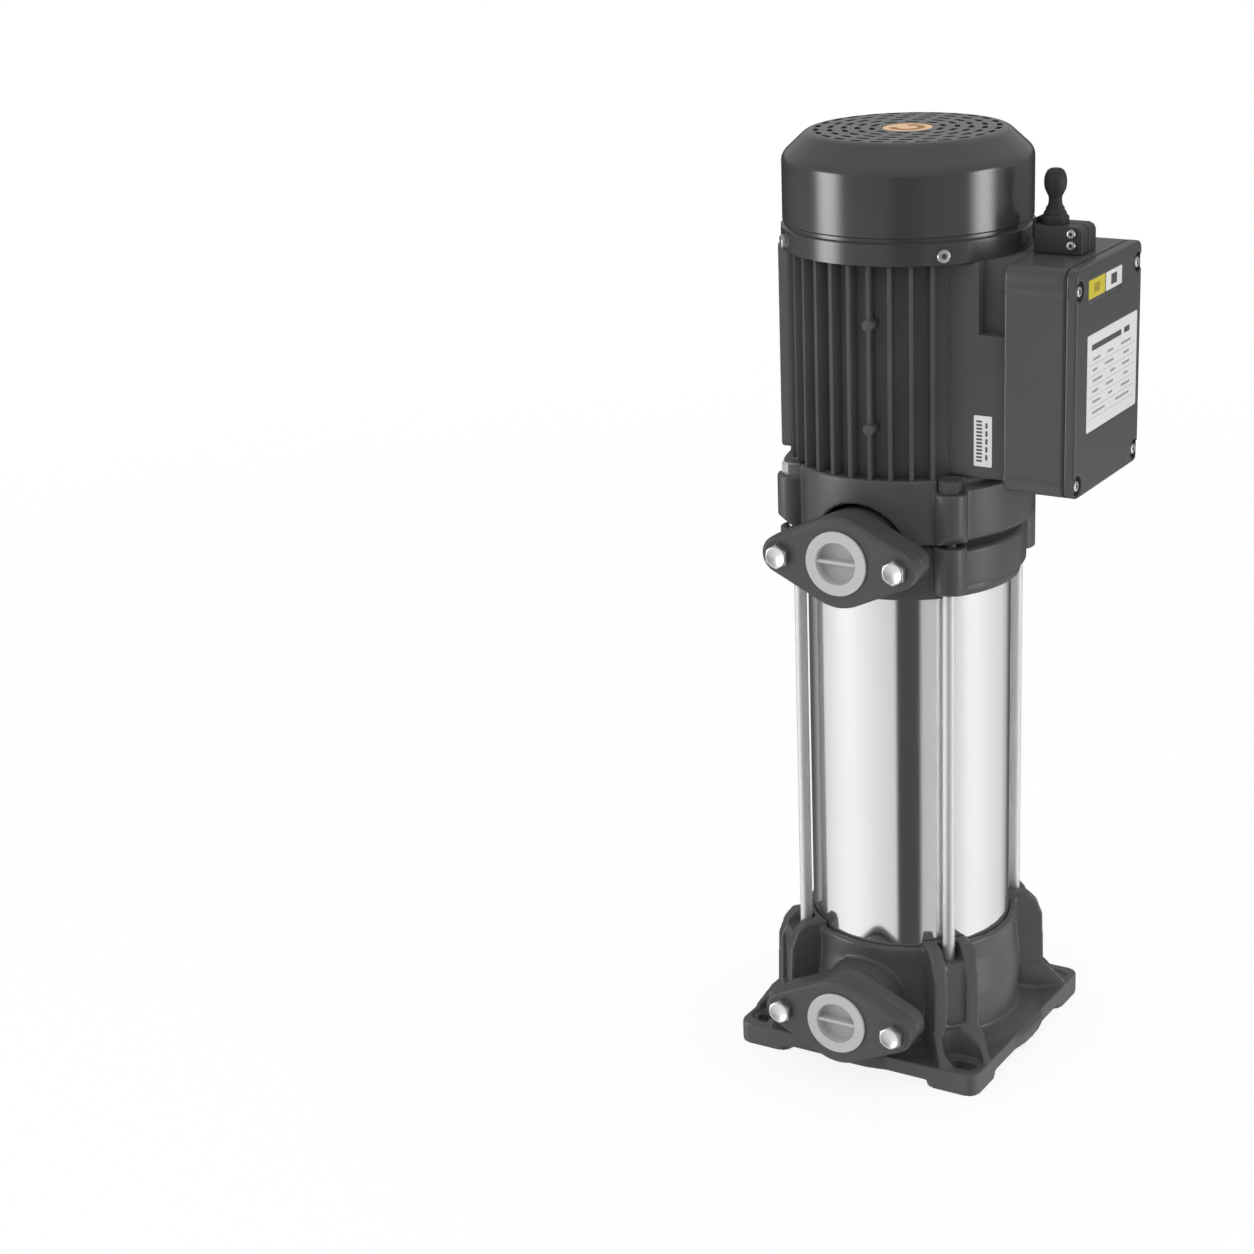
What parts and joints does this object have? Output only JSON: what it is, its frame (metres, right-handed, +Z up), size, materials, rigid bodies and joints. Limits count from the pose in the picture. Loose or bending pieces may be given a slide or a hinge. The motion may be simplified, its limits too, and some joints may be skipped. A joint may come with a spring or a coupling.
{
  "type": "vertical multistage pump",
  "caption": "Vertical multistage water pump: cast base and head with flanged ports on one side, polished steel sleeve and tie rods, finned motor with terminal box.",
  "frame": {"origin": "centre of the four floor slots, on the underside of the feet, under the pump's axis", "axes": "+Z up along the shaft, both ports face -Y, the terminal box faces +X"},
  "size_m": [0.224, 0.2066, 0.6087],
  "materials": {
    "cast_paint": "satin charcoal paint on cast iron",
    "motor_paint": "satin black paint on finned aluminium",
    "cover_paint": "gloss black paint on pressed steel",
    "box_paint": "satin charcoal, fine texture",
    "clamp_plastic": "moulded black",
    "polished_steel": "bright polished stainless",
    "rod_steel": "bright drawn bar",
    "zinc_steel": "bright zinc plate",
    "brass": "turned brass",
    "plug_plastic": "light grey moulded",
    "black_rubber": "matt black",
    "stage_steel": "pressed stainless",
    "carbon": "ground carbon",
    "ceramic": "ground ceramic",
    "bearing_steel": "ground steel",
    "lamination_steel": "stacked laminations",
    "copper": "varnished copper wire",
    "black_plastic": "moulded black",
    "label_white": "printed label",
    "capacitor_case": "moulded white case"
  },
  "bodies": {
    "pump": {"pump_base": "cast_paint", "pump_head": "cast_paint", "motor_bracket": "cast_paint", "suction_flange": "cast_paint", "discharge_flange": "cast_paint", "motor_housing": "motor_paint", "rear_end_shield": "motor_paint", "fan_cover": "cover_paint", "terminal_box": "box_paint", "cable_clamp_base": "clamp_plastic", "cable_clamp_front": "clamp_plastic", "outer_sleeve": "polished_steel", "tie_rods": "rod_steel", "tie_rod_washers": "zinc_steel", "tie_rod_nuts": "zinc_steel", "suction_flange_bolts": "zinc_steel", "discharge_flange_bolts": "zinc_steel", "bracket_bolts": "zinc_steel", "fan_cover_screws": "zinc_steel", "cable_clamp_screws": "zinc_steel", "drain_plug": "brass", "vent_plug": "brass", "terminal_studs": "brass", "earth_screw": "brass", "suction_gasket": "black_rubber", "discharge_gasket": "black_rubber", "sleeve_gaskets": "black_rubber", "box_gasket": "black_rubber", "cable_boot": "black_rubber", "inlet_plate": "stage_steel", "stage_casings": "stage_steel", "diffusers": "stage_steel", "guide_bush": "carbon", "seal_seat": "ceramic", "front_bearing_outer_ring": "bearing_steel", "front_bearing_balls": "bearing_steel", "rear_bearing_outer_ring": "bearing_steel", "rear_bearing_balls": "bearing_steel", "stator_core": "lamination_steel", "stator_windings": "copper", "terminal_block": "black_plastic", "capacitor": "capacitor_case", "capacitor_clip": "zinc_steel"},
    "rotor": {"shaft": "stage_steel", "shaft_nut": "stage_steel", "bush_spacer": "stage_steel", "impellers": "stage_steel", "impeller_spacers": "stage_steel", "seal_spacer": "stage_steel", "seal_spring": "stage_steel", "seal_ring": "carbon", "front_bearing_inner_ring": "bearing_steel", "rear_bearing_inner_ring": "bearing_steel", "rotor_core": "lamination_steel", "cooling_fan": "black_plastic"},
    "box_lid": {"terminal_cover": "box_paint", "rating_plate": "label_white", "terminal_cover_screws": "zinc_steel"},
    "suction_cap": {"suction_plug": "plug_plastic"},
    "discharge_cap": {"discharge_plug": "plug_plastic"}
  },
  "joints": [
    {"name": "rotor_spin", "type": "hinge", "parent": "pump", "child": "rotor", "pos_m": [0, 0, 0.3], "axis": [0, 0, 1], "continuous": true},
    {"name": "suction_plug_pull", "type": "slide", "parent": "pump", "child": "suction_cap", "axis": [0, -1, 0], "range_m": [0, 0.06]},
    {"name": "discharge_plug_pull", "type": "slide", "parent": "pump", "child": "discharge_cap", "axis": [0, -1, 0], "range_m": [0, 0.06]},
    {"name": "box_lid_pull", "type": "slide", "parent": "pump", "child": "box_lid", "axis": [1, 0, 0], "range_m": [0, 0.08]}
  ]
}
